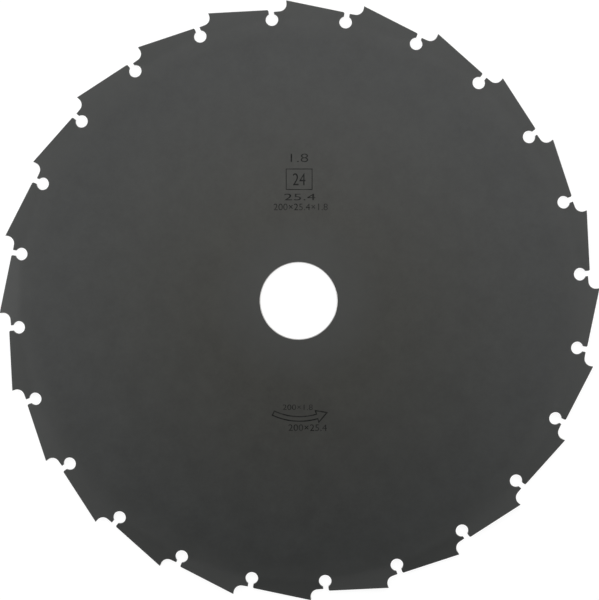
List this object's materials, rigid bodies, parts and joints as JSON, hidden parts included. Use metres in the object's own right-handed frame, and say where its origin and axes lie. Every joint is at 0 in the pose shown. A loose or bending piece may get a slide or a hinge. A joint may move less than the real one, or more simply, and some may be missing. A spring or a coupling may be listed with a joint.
{
  "type": "saw blade",
  "caption": "Flat round steel saw blade for a clearing saw, with alternately set chisel teeth, round gullet holes at their roots and a plain centre bore.",
  "frame": {"origin": "centre of the bore, half way through the plate's thickness", "axes": "+Z along the bore's axis, out of the marked face; the blade turns counterclockwise seen from +Z; +Y is up in the picture"},
  "size_m": [0.1998, 0.1998, 0.0032],
  "materials": {
    "blade_steel": "satin"
  },
  "bodies": {
    "root": {"blade": "blade_steel"}
  },
  "joints": []
}
